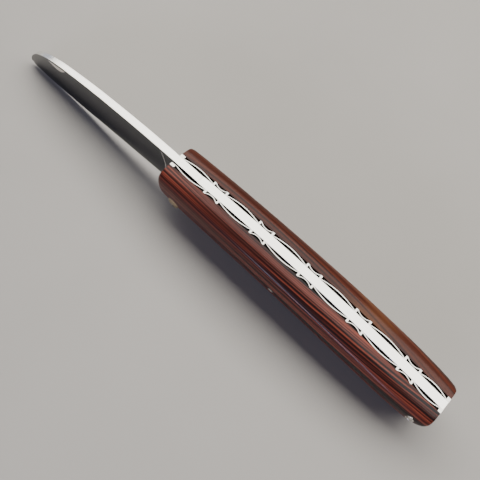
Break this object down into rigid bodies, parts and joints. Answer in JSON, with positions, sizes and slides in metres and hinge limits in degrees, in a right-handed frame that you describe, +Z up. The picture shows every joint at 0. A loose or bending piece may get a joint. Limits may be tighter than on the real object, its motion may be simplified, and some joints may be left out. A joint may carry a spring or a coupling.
{
  "type": "folding pocket knife",
  "caption": "Slip-joint folding pocket knife, shown open: plain steel blade, back spring, steel liners with filed edges, striped hardwood scales and peened pins.",
  "frame": {"origin": "on the resting surface, under the middle of the open knife's box", "axes": "+X from the blade's tip towards the butt, +Y from the left side to the right side, +Z up from the resting surface to the spine"},
  "size_m": [0.187, 0.019, 0.0222],
  "materials": {
    "blade_steel": "hardened steel, mirror polished faces, satin spine",
    "spring_steel": "satin polished along its length",
    "liner_steel": "polished edge with filed waves",
    "striped_hardwood": "oiled and polished rosewood, red-brown with near-black stripes",
    "pin_steel": "polished, peened ends"
  },
  "bodies": {
    "handle": {"back_spring": "spring_steel", "liner_left": "liner_steel", "liner_right": "liner_steel", "scale_left": "striped_hardwood", "scale_right": "striped_hardwood", "pivot_pin": "pin_steel", "pivot_rosette_left": "pin_steel", "pivot_rosette_right": "pin_steel", "spring_pin": "pin_steel", "rear_pin": "pin_steel", "rear_rosette_left": "pin_steel", "rear_rosette_right": "pin_steel"},
    "blade": {"blade": "blade_steel"}
  },
  "joints": [
    {"name": "blade_fold", "type": "hinge", "parent": "handle", "child": "blade", "pos_m": [-0.00928, 0, 0.01109], "axis": [0, -1, 0], "range_deg": [0, 168.5]}
  ]
}
